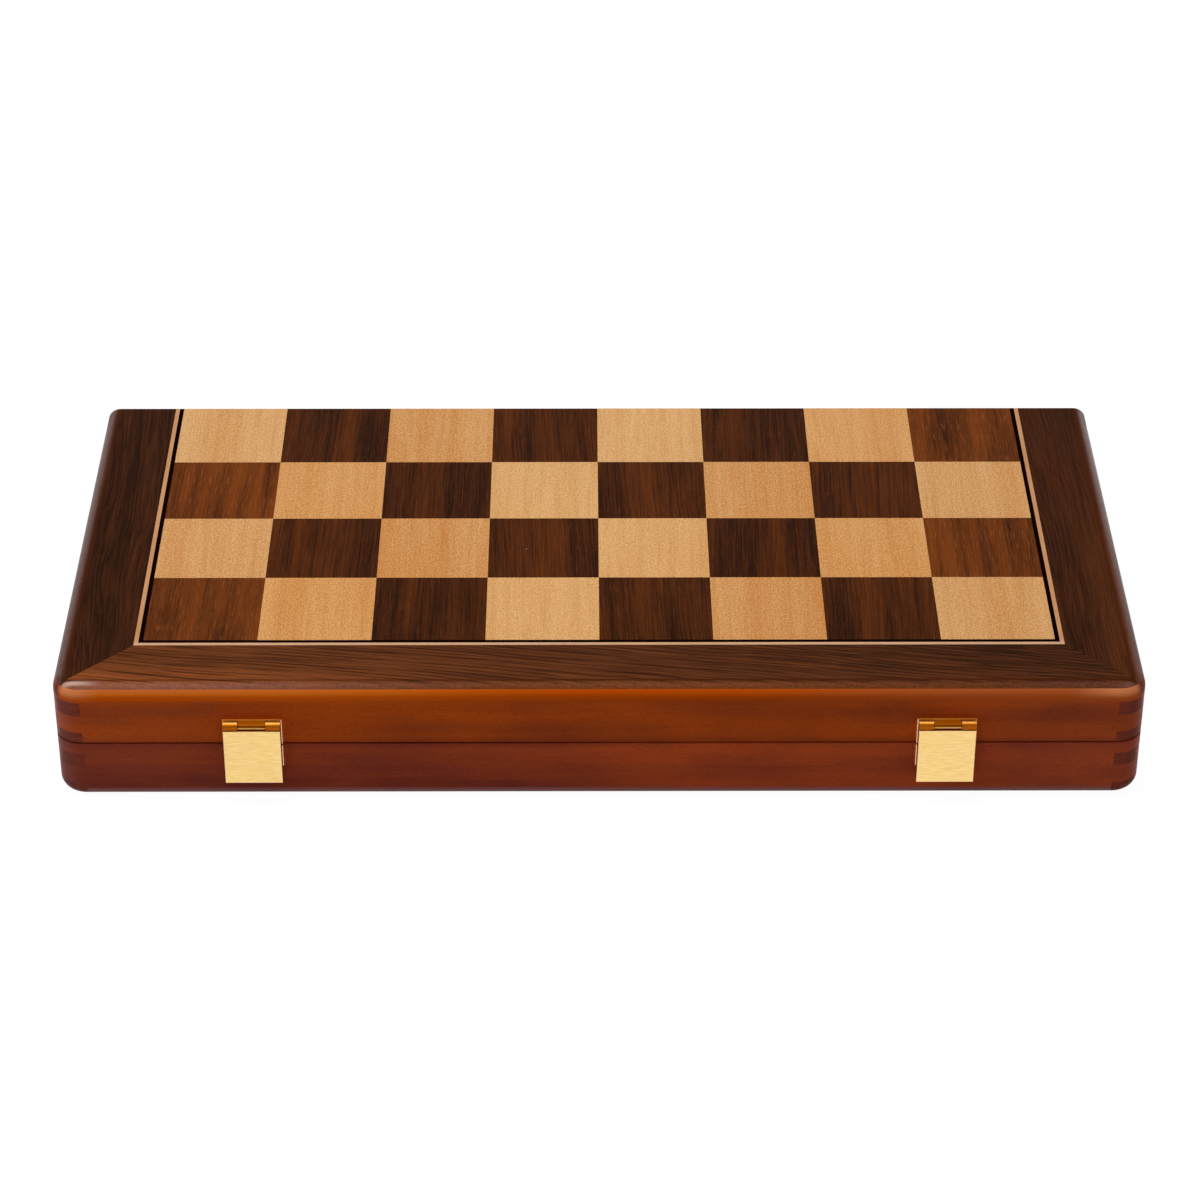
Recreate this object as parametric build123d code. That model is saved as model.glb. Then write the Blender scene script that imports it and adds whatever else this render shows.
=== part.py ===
from build123d import *
import os

# A chess box that folds like a book: two equal halves, hinged along the back.
# The squares are on the outside, four rows on each half, so the opened box is the whole board.
# X runs along the hinge, -Y is the front with the clasps, +Z is up. Millimetres.
# The origin is the middle of the underside.

# Board
square = 42.0
columns = 8
rows = 4
border_width = 27.7
pale_line = 1.6
black_line = 1.7
skin = 1.6

# Case
half_height = 24.3
rim_gap = 0.4
wall = 10.5
panel_thickness = 3.75
panel_let_in = 5.0
corner_radius = 10.0
edge_radius = 5.2
rim_easing = 0.4
lining_thickness = 1.0
lining_gap = 0.3

# Finger joints, measured down the blank from its top before it was sawn into two halves
first_finger = 6.7
finger_pitch = 13.15
finger_height = 5.75
saw_kerf = 3.9

# Butt hinges in the back rims
hinge_offset = 105.0
hinge_length = 38.0
hinge_knuckles = 5
hinge_knuckle_radius = 2.4
hinge_pin_radius = 1.0
hinge_setback = 0.15
leaf_thickness = 1.2
leaf_width = 8.3
leaf_fit = 0.1
knuckle_gap = 0.2
barrel_clearance = 0.3

# Hinge screws
screw_offset = 12.0
screw_inset = 5.1
screw_shank_radius = 0.9
screw_head_radius = 1.9
screw_length = 9.0
slot_width = 0.5
slot_depth = 0.4

# Clasps
clasp_offset = 126.4
clasp_width = 20.8
clasp_sheet = 0.8
clasp_axis_height = 9.5
clasp_barrel_radius = 1.8
clasp_barrel_gap = 0.15
clasp_lug_radius = 1.3
clasp_lug_width = 9.8
clasp_pin_radius = 0.55
plate_overhang = 0.4
plate_rim_gap = 0.2
flap_drop = 1.0
flap_length = 24.1
flap_easing = 0.2
keeper_height = 9.1

# Nose of the keeper and catch of the flap
nose_top = 12.2
nose_height = 2.2
nose_reach = 2.2
nose_width = 12.0
catch_gap = 0.25
catch_sheet = 0.6
catch_tongue = 1.0
catch_reach = 2.3
catch_height = 6.6
catch_width = 11.0

# Clasp nails
nail_offset = 7.6
nail_from_rim = 3.0
keeper_nail_from_edge = 2.2
nail_shank_radius = 0.6
nail_head_radius = 1.25
nail_head_height = 0.5
nail_length = 8.0

fit = 0.05

# What follows from the sizes above
band = border_width + pale_line + black_line
width = columns * square + 2 * band
depth = rows * square + band
height = 2 * half_height + rim_gap
blank_height = 2 * half_height + saw_kerf
left = -width / 2
right = width / 2
front = -depth / 2
back = depth / 2
middle = height / 2
hinge_axis_y = back + hinge_setback
halves = ("base", "lid")


def block(x0, x1, y0, y1, z0, z1):
    """A box from its lowest to its highest corner."""
    box = Box(x1 - x0, y1 - y0, z1 - z0, align=(Align.MIN, Align.MIN, Align.MIN))
    return Pos(x0, y0, z0) * box


def rod(radius, x0, x1, y, z):
    """A cylinder along X."""
    along = Cylinder(radius, x1 - x0, align=(Align.CENTER, Align.CENTER, Align.MIN))
    return Pos(x0, y, z) * Rot(0, 90, 0) * along


def in_half(half, shape):
    """A half is drawn with its outer face at z = 0, as the base lies. The lid is its mirror image."""
    if half == "base":
        return shape
    return mirror(shape, about=Plane.XY.offset(middle))


def write(node, pieces):
    """Pieces that share a node stay separate solids."""
    solids = [solid for piece in pieces for solid in piece.solids()]
    shape = solids[0] if len(solids) == 1 else Compound(children=solids)
    export_step(shape, "parts/" + node + ".step")


def half_body():
    """The outer form of a half: round front corners, a rounded edge to the board and eased rims."""
    body = block(left, right, front, back, 0, half_height)
    upright = body.edges().filter_by(Axis.Z).group_by(Axis.Y)[0]
    body = fillet(upright, corner_radius)
    board_edges = body.faces().sort_by(Axis.Z)[0].edges().sort_by(Axis.Y)[:-1]
    body = fillet(board_edges, edge_radius)
    return chamfer(body.faces().sort_by(Axis.Z)[-1].edges(), rim_easing)


# Walls and their finger joints


def side_fingers(half):
    """Heights of the side walls' fingers. The base holds the lower end of the sawn blank."""
    spans = []
    for step in range(int(blank_height / finger_pitch) + 1):
        low = first_finger + step * finger_pitch
        high = low + finger_height
        if half == "base":
            low, high = blank_height - high, blank_height - low
        low = max(low, skin)
        high = min(high, half_height)
        if high > low:
            spans.append((low, high))
    return spans


def fingers(half, x0, x1, ends):
    """The side wall's fingers in the corner blocks between x0 and x1."""
    return [block(x0, x1, y0, y0 + wall, low, high) for low, high in side_fingers(half) for y0 in ends]


def walls(half, body, panel):
    """The four walls, joined at the corners and rebated for the panel."""
    inner_left = left + wall
    inner_right = right - wall
    inner_front = front + wall
    inner_back = back - wall
    ends = (front, inner_back)
    left_fingers = fingers(half, left, inner_left, ends)
    right_fingers = fingers(half, inner_right, right, ends)
    both_fingers = left_fingers + right_fingers
    blanks = {
        "front_wall": block(left, right, front, inner_front, skin, half_height) - both_fingers,
        "back_wall": block(left, right, inner_back, back, skin, half_height) - both_fingers,
        "left_wall": block(left, inner_left, inner_front, inner_back, skin, half_height) + left_fingers,
        "right_wall": block(inner_right, right, inner_front, inner_back, skin, half_height) + right_fingers,
    }
    return {name: (blank & body) - panel for name, blank in blanks.items()}


# Board: the panel, the squares and the strips round them


def panel_sheet():
    """Plywood let into rebates in all four walls."""
    outside = wall - panel_let_in
    top = skin + panel_thickness
    return block(left + outside, right - outside, front + outside, back - outside, skin, top)


def lining_sheet():
    """Felt on the inside of the panel, between the walls."""
    inset = wall + lining_gap
    low = skin + panel_thickness
    high = low + lining_thickness
    return block(left + inset, right - inset, front + inset, back - inset, low, high)


def strips(inset, strip_width):
    """Left, front and right strips, mitred at the front corners and running out at the back."""
    x0 = left + inset
    x1 = right - inset
    y0 = front + inset
    xi = x0 + strip_width
    xj = x1 - strip_width
    yi = y0 + strip_width
    outlines = {
        "left": [(x0, y0), (xi, yi), (xi, back), (x0, back)],
        "front": [(x0, y0), (x1, y0), (xj, yi), (xi, yi)],
        "right": [(x1, y0), (x1, back), (xj, back), (xj, yi)],
    }
    faces = {side: make_face(Polyline(*points, close=True)) for side, points in outlines.items()}
    return {side: extrude(face, amount=skin, dir=(0, 0, 1)) for side, face in faces.items()}


def board_squares(half, dark):
    """The near left square of the lid is dark, and the base carries the pattern on past the hinge."""
    phase = (0 if half == "lid" else 1) + (0 if dark else 1)
    pieces = []
    for column in range(columns):
        for row in range(rows):
            if (column + row + phase) % 2 == 0:
                x0 = left + band + column * square
                y0 = front + band + row * square
                pieces.append(block(x0, x0 + square, y0, y0 + square, 0, skin))
    return pieces


# Hinges


def knuckle_spans(owner):
    """Lengths of barrel that belong to one leaf: the base has the first, third and fifth."""
    pitch = hinge_length / hinge_knuckles
    start = 0 if owner == "base" else 1
    low = -hinge_length / 2
    return [(low + n * pitch, low + (n + 1) * pitch) for n in range(start, hinge_knuckles, 2)]


def hinge_leaf(owner, other):
    """A leaf with its knuckles, cut back round the other leaf's, with its rim side flush."""
    half = hinge_length / 2
    low = half_height - leaf_thickness
    leaf = block(-half, half, hinge_axis_y - leaf_width, hinge_axis_y, low, half_height)
    for x0, x1 in knuckle_spans(other):
        room = hinge_knuckle_radius + barrel_clearance
        leaf -= rod(room, x0 - knuckle_gap / 2, x1 + knuckle_gap / 2, hinge_axis_y, middle)
    for x0, x1 in knuckle_spans(owner):
        start = x0 if x0 <= -half else x0 + knuckle_gap / 2
        end = x1 if x1 >= half else x1 - knuckle_gap / 2
        leaf += rod(hinge_knuckle_radius, start, end, hinge_axis_y, middle)
    leaf -= rod(hinge_pin_radius + fit, -half, half, hinge_axis_y, middle)
    return leaf - [screw(x, fit, False) for x in (-screw_offset, screw_offset)]


def screw(x, grow, slotted):
    """A countersunk wood screw, its head flush with the rim. Its hole is the same form, a little larger."""
    head_depth = screw_head_radius - screw_shank_radius
    shank = Cylinder(screw_shank_radius + grow, screw_length, align=(Align.CENTER, Align.CENTER, Align.MAX))
    head = Cone(
        screw_shank_radius + grow,
        screw_head_radius + grow,
        head_depth,
        align=(Align.CENTER, Align.CENTER, Align.MAX),
    )
    form = shank + head
    if slotted:
        form -= Box(2 * screw_head_radius, slot_width, 2 * slot_depth)
    return Pos(x, hinge_axis_y - screw_inset, half_height) * form


def hinge_seat(x):
    """What a back wall loses for one hinge: the leaf's recess, room for the barrel and pilot holes."""
    half = hinge_length / 2 + leaf_fit
    low = half_height - leaf_thickness
    recess = block(-half, half, hinge_axis_y - leaf_width - leaf_fit, hinge_axis_y, low, half_height)
    barrel = rod(hinge_knuckle_radius + barrel_clearance, -half, half, hinge_axis_y, middle)
    pilots = [screw(offset, fit, False) for offset in (-screw_offset, screw_offset)]
    return Pos(x, 0, 0) * (recess + barrel + pilots)


# Clasps, drawn about x = 0

clasp_axis_y = front - clasp_sheet - clasp_barrel_gap - clasp_barrel_radius
clasp_axis_z = middle + clasp_axis_height
flap_front = clasp_axis_y - clasp_barrel_radius
flap_inside = flap_front + clasp_sheet
plate_half = clasp_width / 2 + plate_overhang
plate_low = height - half_height + plate_rim_gap
keeper_top = half_height - plate_rim_gap
keeper_low = keeper_top - keeper_height
nose_low = clasp_axis_z - nose_top - nose_height
nail_heights = {"lid": plate_low + nail_from_rim, "base": keeper_low + keeper_nail_from_edge}


def nail(x, z, grow):
    """A round nail with a low domed head, driven through a plate into the front wall."""
    reach = nail_length + clasp_sheet
    shank = Cylinder(nail_shank_radius + grow, reach, align=(Align.CENTER, Align.CENTER, Align.MIN))
    if grow == 0:
        head = Cylinder(nail_head_radius, nail_head_height, align=(Align.CENTER, Align.CENTER, Align.MAX))
        head = fillet(head.faces().sort_by(Axis.Z)[0].edges(), nail_head_height / 2)
        shank += head
    return Pos(x, front - clasp_sheet, z) * Rot(-90, 0, 0) * shank


def nails(half, grow):
    """The two nails of one clasp in one half."""
    return [nail(x, nail_heights[half], grow) for x in (-nail_offset, nail_offset)]


def clasp_plate():
    """The lid's plate, level with the lug on its middle that holds the pin."""
    lug_half = clasp_lug_width / 2
    plate_top = clasp_axis_z + clasp_lug_radius
    plate = block(-plate_half, plate_half, front - clasp_sheet, front, plate_low, plate_top)
    neck = block(
        -lug_half,
        lug_half,
        clasp_axis_y,
        front - clasp_sheet,
        clasp_axis_z + clasp_pin_radius,
        plate_top,
    )
    plate += neck
    plate += rod(clasp_lug_radius, -lug_half, lug_half, clasp_axis_y, clasp_axis_z)
    plate -= rod(clasp_pin_radius + fit, -lug_half, lug_half, clasp_axis_y, clasp_axis_z)
    return plate - nails("lid", fit)


def clasp_flap():
    """A flat flap that hangs in front of both plates from two knuckles on the pin."""
    half = clasp_width / 2
    lug_half = clasp_lug_width / 2 + knuckle_gap
    flap_low = clasp_axis_z - flap_length
    flap = block(-half, half, flap_front, flap_inside, flap_low, clasp_axis_z - flap_drop)
    flap = chamfer(flap.faces().sort_by(Axis.Y)[0].edges(), flap_easing)
    for x0, x1 in ((-half, -lug_half), (lug_half, half)):
        flap += rod(clasp_barrel_radius, x0, x1, clasp_axis_y, clasp_axis_z)
    return flap - rod(clasp_pin_radius + fit, -half, half, clasp_axis_y, clasp_axis_z)


def clasp_catch():
    """A strip inside the flap whose tongue lies under the keeper's nose."""
    half = catch_width / 2
    high = nose_low - catch_gap
    strip = block(-half, half, flap_inside, flap_inside + catch_sheet, high - catch_height, high)
    tongue = block(-half, half, flap_inside, flap_inside + catch_reach, high - catch_tongue, high)
    return strip + tongue


def clasp_keeper():
    """The base's plate, with a nose for the catch."""
    nose_half = nose_width / 2
    plate = block(-plate_half, plate_half, front - clasp_sheet, front, keeper_low, keeper_top)
    nose = block(
        -nose_half,
        nose_half,
        front - clasp_sheet - nose_reach,
        front - clasp_sheet,
        nose_low,
        nose_low + nose_height,
    )
    nose = fillet(nose.edges().filter_by(Axis.X).group_by(Axis.Y)[0], nose_height / 4)
    return plate + nose - nails("base", fit)


# Both halves

hinge_places = {"left": -hinge_offset, "right": hinge_offset}
clasp_places = {"left": -clasp_offset, "right": clasp_offset}

outer_form = half_body()
panel = panel_sheet()
borders = strips(0, border_width)
pale_strips = strips(border_width, pale_line)
black_strips = strips(border_width + pale_line, black_line)

for half in halves:
    for name, piece in walls(half, outer_form, panel).items():
        if name == "back_wall":
            piece -= [hinge_seat(x) for x in hinge_places.values()]
        piece = in_half(half, piece)
        if name == "front_wall":
            piece -= [Pos(x, 0, 0) * hole for x in clasp_places.values() for hole in nails(half, fit)]
        write(half + "_" + name, [piece])
    for side, strip in borders.items():
        write(half + "_" + side + "_border", [in_half(half, strip & outer_form)])
    write(half + "_pale_line", [in_half(half, strip) for strip in pale_strips.values()])
    write(half + "_black_line", [in_half(half, strip) for strip in black_strips.values()])
    write(half + "_dark_squares", [in_half(half, piece) for piece in board_squares(half, True)])
    write(half + "_light_squares", [in_half(half, piece) for piece in board_squares(half, False)])
    write(half + "_panel", [in_half(half, panel)])
    write(half + "_lining", [in_half(half, lining_sheet())])

# Hinges and their screws

leaves = {"base": hinge_leaf("base", "lid"), "lid": in_half("lid", hinge_leaf("lid", "base"))}
hinge_pin = rod(hinge_pin_radius, -hinge_length / 2, hinge_length / 2, hinge_axis_y, middle)

for side, x in hinge_places.items():
    for half in halves:
        write(side + "_hinge_" + half + "_leaf", [Pos(x, 0, 0) * leaves[half]])
    write(side + "_hinge_pin", [Pos(x, 0, 0) * hinge_pin])

for half in halves:
    places = [x + offset for x in hinge_places.values() for offset in (-screw_offset, screw_offset)]
    write(half + "_hinge_screws", [in_half(half, screw(x, 0, True)) for x in places])

# Clasps and their nails

clasp_pin = rod(clasp_pin_radius, -clasp_width / 2, clasp_width / 2, clasp_axis_y, clasp_axis_z)
clasp_pieces = {
    "plate": clasp_plate(),
    "pin": clasp_pin,
    "flap": clasp_flap(),
    "catch": clasp_catch(),
    "keeper": clasp_keeper(),
}

for side, x in clasp_places.items():
    for name, piece in clasp_pieces.items():
        write(side + "_clasp_" + name, [Pos(x, 0, 0) * piece])

for half in halves:
    one_clasp = nails(half, 0)
    write(half + "_clasp_nails", [Pos(x, 0, 0) * piece for x in clasp_places.values() for piece in one_clasp])
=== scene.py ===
import math

import bpy
import numpy as np
from mathutils import Matrix, Vector


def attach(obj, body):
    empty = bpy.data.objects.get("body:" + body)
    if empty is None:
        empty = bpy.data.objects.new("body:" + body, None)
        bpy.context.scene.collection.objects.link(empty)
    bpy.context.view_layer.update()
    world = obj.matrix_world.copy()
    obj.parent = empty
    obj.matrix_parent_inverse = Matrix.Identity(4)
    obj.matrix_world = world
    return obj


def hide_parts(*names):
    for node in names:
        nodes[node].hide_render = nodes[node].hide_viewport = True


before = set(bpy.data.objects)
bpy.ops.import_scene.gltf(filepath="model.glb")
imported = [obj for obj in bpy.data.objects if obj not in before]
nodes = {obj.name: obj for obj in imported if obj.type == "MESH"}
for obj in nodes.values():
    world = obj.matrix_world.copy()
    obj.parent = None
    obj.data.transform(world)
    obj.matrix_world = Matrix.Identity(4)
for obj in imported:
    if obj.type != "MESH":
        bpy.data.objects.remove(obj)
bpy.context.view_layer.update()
print("box loaded:", len(nodes), "pieces")


# small helpers for shader nodes

def tint(red, green, blue):
    # a colour written in screen values, 0 to 255
    part = [(c / 255 / 12.92) if c < 10.3 else ((c / 255 + 0.055) / 1.055) ** 2.4 for c in (red, green, blue)]
    return (*part, 1.0)


def put(tree, kind, sockets=None, **settings):
    node = tree.nodes.new(kind)
    for name, value in settings.items():
        setattr(node, name, value)
    for key, value in (sockets or {}).items():
        if isinstance(value, bpy.types.NodeSocket):
            tree.links.new(value, node.inputs[key])
        else:
            node.inputs[key].default_value = value
    return node


def calc(tree, operation, *values):
    return put(tree, "ShaderNodeMath", dict(enumerate(values)), operation=operation).outputs[0]


def vectorCalc(tree, operation, *values):
    return put(tree, "ShaderNodeVectorMath", dict(enumerate(values)), operation=operation).outputs[0]


def ease(tree, value, low, high, outLow=0.0, outHigh=1.0):
    # a soft step from outLow at low to outHigh at high
    sockets = {"Value": value, "From Min": low, "From Max": high, "To Min": outLow, "To Max": outHigh}
    return put(tree, "ShaderNodeMapRange", sockets, interpolation_type="SMOOTHSTEP").outputs[0]


def blendColour(tree, factor, first, second, way="MIX"):
    sockets = {0: factor, 6: first, 7: second}
    return put(tree, "ShaderNodeMix", sockets, data_type="RGBA", blend_type=way).outputs[2]


def split(tree, vector):
    return put(tree, "ShaderNodeSeparateXYZ", {0: vector}).outputs


def join(tree, x, y, z):
    return put(tree, "ShaderNodeCombineXYZ", {0: x, 1: y, 2: z}).outputs[0]


def grain(tree, vector, size, detail=2.0, roughness=0.5, distortion=0.0):
    # noise whose features are size = (x, y, z) long, in the vector's own units
    sockets = {"Vector": vectorCalc(tree, "DIVIDE", vector, size), "Scale": 1.0,
               "Detail": detail, "Roughness": roughness, "Distortion": distortion}
    return put(tree, "ShaderNodeTexNoise", sockets).outputs["Fac"]


def stretch(tree, value, gain):
    # noise crowds round a half: spread it out, and keep it from 0 to 1
    wide = calc(tree, "MULTIPLY_ADD", calc(tree, "SUBTRACT", value, 0.5), gain, 0.5)
    return calc(tree, "MAXIMUM", calc(tree, "MINIMUM", wide, 1.0), 0.0)


def vary(tree, tone, noise, amount):
    # adds to a tone some noise that crowds round a half
    return calc(tree, "MULTIPLY_ADD", calc(tree, "SUBTRACT", noise, 0.5), amount, tone)


def newGroup(name, inputs, outputs):
    tree = bpy.data.node_groups.new(name, "ShaderNodeTree")
    for label, kind, value in inputs:
        socket = tree.interface.new_socket(label, in_out="INPUT", socket_type=kind)
        if value is not None:
            socket.default_value = value
    for label, kind in outputs:
        tree.interface.new_socket(label, in_out="OUTPUT", socket_type=kind)
    return tree, tree.nodes.new("NodeGroupInput").outputs, tree.nodes.new("NodeGroupOutput").inputs


def useGroup(tree, group, **values):
    node = tree.nodes.new("ShaderNodeGroup")
    node.node_tree = group
    for label, value in values.items():
        key = label[0].upper() + "".join(" " + c if c.isupper() else c for c in label[1:])
        if isinstance(value, bpy.types.NodeSocket):
            tree.links.new(value, node.inputs[key])
        else:
            node.inputs[key].default_value = value
    return node.outputs


def newMaterial(name):
    material = bpy.data.materials.new(name)
    material.use_nodes = True
    tree = material.node_tree
    shader = tree.nodes["Principled BSDF"]
    place = tree.nodes.new("ShaderNodeTexCoord").outputs["Object"]
    millimetres = vectorCalc(tree, "MULTIPLY", place, (1000, 1000, 1000))
    return material, tree, shader, millimetres


def setShader(shader, **values):
    # the numbers that are the same all over a surface
    for label, value in values.items():
        key = label[0].upper() + "".join(" " + c if c.isupper() else c for c in label[1:])
        shader.inputs[key.replace("I O R", "IOR")].default_value = value


def addBump(tree, shader, height, distance, strength=1.0):
    bump = put(tree, "ShaderNodeBump", {"Height": height, "Strength": strength, "Distance": distance})
    tree.links.new(bump.outputs[0], shader.inputs["Normal"])


def feed(tree, value, shader, label):
    tree.links.new(value, shader.inputs[label])


def dress(material, *names):
    for name in names:
        mesh = nodes[name].data
        mesh.materials.clear()
        mesh.materials.append(material)


# shared effects, each a node group in millimetres

def buildWoodFigure():
    # wood whose grain runs along X: soft streaks, growth lines, fine fibres and short dark pores
    number, vector = "NodeSocketFloat", "NodeSocketVector"
    inputs = [("Vector", vector, None), ("Seed", number, 0.0), ("Streak Width", number, 5.0),
              ("Line Width", number, 1.5), ("Wander", number, 2.0), ("Pore Length", number, 3.0)]
    outputs = [("Streak", number), ("Lines", number), ("Fibre", number), ("Pores", number),
               ("Height", number)]
    tree, given, result = newGroup("wood figure", inputs, outputs)
    seed = given["Seed"]
    apart = vectorCalc(tree, "MULTIPLY", join(tree, seed, seed, seed), (37.0, 11.3, 5.7))
    moved = vectorCalc(tree, "ADD", given["Vector"], apart)
    drift = vary(tree, 0.0, grain(tree, moved, (70, 22, 22), 1.5), given["Wander"])
    bent = vectorCalc(tree, "ADD", moved, join(tree, 0.0, drift, calc(tree, "MULTIPLY", drift, 0.6)))
    streakSize = join(tree, 150.0, given["Streak Width"], given["Streak Width"])
    streak = stretch(tree, grain(tree, bent, streakSize, 2.5, 0.5), 2.6)
    across = split(tree, bent)
    # growth lines: a sine across the grain whose spacing wanders with the streaks
    phase = calc(tree, "ADD", calc(tree, "DIVIDE", across[1], given["Line Width"]),
                 calc(tree, "MULTIPLY", streak, 0.8))
    wave = calc(tree, "SINE", calc(tree, "MULTIPLY", phase, 2 * math.pi))
    lines = calc(tree, "POWER", calc(tree, "MULTIPLY_ADD", wave, 0.5, 0.5), 2.5)
    broken = grain(tree, bent, (28, 3, 3), 2.0)
    lines = calc(tree, "MULTIPLY", lines, ease(tree, broken, 0.32, 0.55))
    fibre = stretch(tree, grain(tree, bent, (34.0, 0.6, 0.6), 2.0, 0.6), 3.2)
    poreSize = join(tree, given["Pore Length"], 0.4, 0.4)
    pores = ease(tree, grain(tree, bent, poreSize, 1.0), 0.56, 0.68)
    height = calc(tree, "SUBTRACT", calc(tree, "MULTIPLY", fibre, 0.6), pores)
    made = {"Streak": streak, "Lines": lines, "Fibre": fibre, "Pores": pores, "Height": height}
    for label, value in made.items():
        tree.links.new(value, result[label])
    return tree


def buildStripBoard():
    # where a point of the board lies in the glued sheet of strips it was cut from:
    # eight strips side by side, cross-cut into rows, every second row turned round
    number, vector = "NodeSocketFloat", "NodeSocketVector"
    inputs = [("Vector", vector, None), ("Square Size", number, 42.0), ("Front Edge", number, -68.5),
              ("Middle Height", number, 24.5)]
    outputs = [("Grain Vector", vector), ("Tone", number), ("Cool", number), ("Square", number),
               ("Joint", number)]
    tree, given, result = newGroup("strip board", inputs, outputs)
    x, y, z = split(tree, given["Vector"])[:3]
    size = given["Square Size"]
    fromLeft = calc(tree, "ADD", calc(tree, "DIVIDE", x, size), 4.0)
    fromFront = calc(tree, "DIVIDE", calc(tree, "SUBTRACT", y, given["Front Edge"]), size)
    column = calc(tree, "FLOOR", fromLeft)
    row = calc(tree, "FLOOR", fromFront)
    half = calc(tree, "GREATER_THAN", z, given["Middle Height"])
    inX = calc(tree, "SUBTRACT", calc(tree, "SUBTRACT", fromLeft, column), 0.5)
    inY = calc(tree, "SUBTRACT", calc(tree, "SUBTRACT", fromFront, row), 0.5)
    turned = calc(tree, "FLOORED_MODULO", row, 2.0)
    side = calc(tree, "MULTIPLY_ADD", turned, -2.0, 1.0)
    strip = calc(tree, "MULTIPLY_ADD", turned, calc(tree, "MULTIPLY_ADD", column, -2.0, 7.0), column)
    across = calc(tree, "MULTIPLY", calc(tree, "MULTIPLY", side, inX), size)
    along = calc(tree, "MULTIPLY", side, y)
    # strips of the lower sheet are other ones
    sheetStrip = calc(tree, "MULTIPLY_ADD", calc(tree, "SUBTRACT", 1.0, half), 3.0, strip)
    sheetStrip = calc(tree, "FLOORED_MODULO", sheetStrip, 8.0)
    apart = calc(tree, "MULTIPLY_ADD", sheetStrip, 90.0, across)
    place = join(tree, along, apart, calc(tree, "MULTIPLY", half, 60.0))
    # each strip of the sheet: how pale it is, how its grain leans, from a half for not at all,
    # and how cool its colour is
    strips = [(0.65, 0.48, 0.5), (0.34, 0.52, 0.05), (0.17, 0.48, 0.5), (0.54, 0.5, 0.42),
              (0.245, 0.54, 0.5), (0.23, 0.49, 0.5), (0.235, 0.46, 0.5), (0.37, 0.5, 0.85)]
    ramp = tree.nodes.new("ShaderNodeValToRGB")
    ramp.color_ramp.interpolation = "CONSTANT"
    while len(ramp.color_ramp.elements) < len(strips):
        ramp.color_ramp.elements.new(0.5)
    for stop, (number, look) in zip(ramp.color_ramp.elements, enumerate(strips)):
        stop.position = number / len(strips)
        stop.color = (*look, 1)
    tree.links.new(calc(tree, "DIVIDE", calc(tree, "ADD", sheetStrip, 0.5), 8.0), ramp.inputs[0])
    tone, lean, cool = split(tree, ramp.outputs[0])[:3]
    angle = calc(tree, "MULTIPLY", calc(tree, "SUBTRACT", lean, 0.5), 0.7)
    leaning = put(tree, "ShaderNodeVectorRotate", {"Vector": place, "Angle": angle}, rotation_type="Z_AXIS")
    cell = join(tree, column, row, half)
    square = put(tree, "ShaderNodeTexWhiteNoise", {"Vector": cell}, noise_dimensions="3D").outputs["Value"]
    nearX = calc(tree, "SUBTRACT", 0.5, calc(tree, "ABSOLUTE", inX))
    nearY = calc(tree, "SUBTRACT", 0.5, calc(tree, "ABSOLUTE", inY))
    toEdge = calc(tree, "MULTIPLY", calc(tree, "MINIMUM", nearX, nearY), size)
    joint = ease(tree, toEdge, 0.05, 0.4, 1.0, 0.0)
    tree.links.new(leaning.outputs[0], result["Grain Vector"])
    tree.links.new(tone, result["Tone"])
    tree.links.new(cool, result["Cool"])
    tree.links.new(square, result["Square"])
    tree.links.new(joint, result["Joint"])
    return tree


def buildDustSpecks():
    # a few pale specks of dust, one where a random cell's point comes near
    number, vector = "NodeSocketFloat", "NodeSocketVector"
    inputs = [("Vector", vector, None), ("Spacing", number, 9.0), ("Amount", number, 0.1)]
    tree, given, result = newGroup("dust specks", inputs, [("Mask", number)])
    scaled = put(tree, "ShaderNodeVectorMath", {0: given["Vector"], "Scale": calc(
        tree, "DIVIDE", 1.0, given["Spacing"])}, operation="SCALE").outputs[0]
    cells = put(tree, "ShaderNodeTexVoronoi", {"Vector": scaled, "Scale": 1.0, "Randomness": 1.0})
    chosen = calc(tree, "LESS_THAN", split(tree, cells.outputs["Color"])[0], given["Amount"])
    near = ease(tree, cells.outputs["Distance"], 0.012, 0.03, 1.0, 0.0)
    tree.links.new(calc(tree, "MULTIPLY", chosen, near), result["Mask"])
    return tree


def buildBrushing():
    # fine scratches along X, each a long thin stroke of noise
    number, vector = "NodeSocketFloat", "NodeSocketVector"
    inputs = [("Vector", vector, None), ("Stroke Length", number, 14.0), ("Stroke Width", number, 0.16)]
    tree, given, result = newGroup("brushing", inputs, [("Strokes", number), ("Cloud", number)])
    size = join(tree, given["Stroke Length"], given["Stroke Width"], given["Stroke Width"])
    tree.links.new(grain(tree, given["Vector"], size, 3.0, 0.7), result["Strokes"])
    tree.links.new(grain(tree, given["Vector"], (9.0, 4.0, 4.0), 3.0), result["Cloud"])
    return tree


woodFigure = buildWoodFigure()
stripBoard = buildStripBoard()
dustSpecks = buildDustSpecks()
brushing = buildBrushing()
print("shared effects built")


# stained beech walls, finger-jointed at the corners

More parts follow.
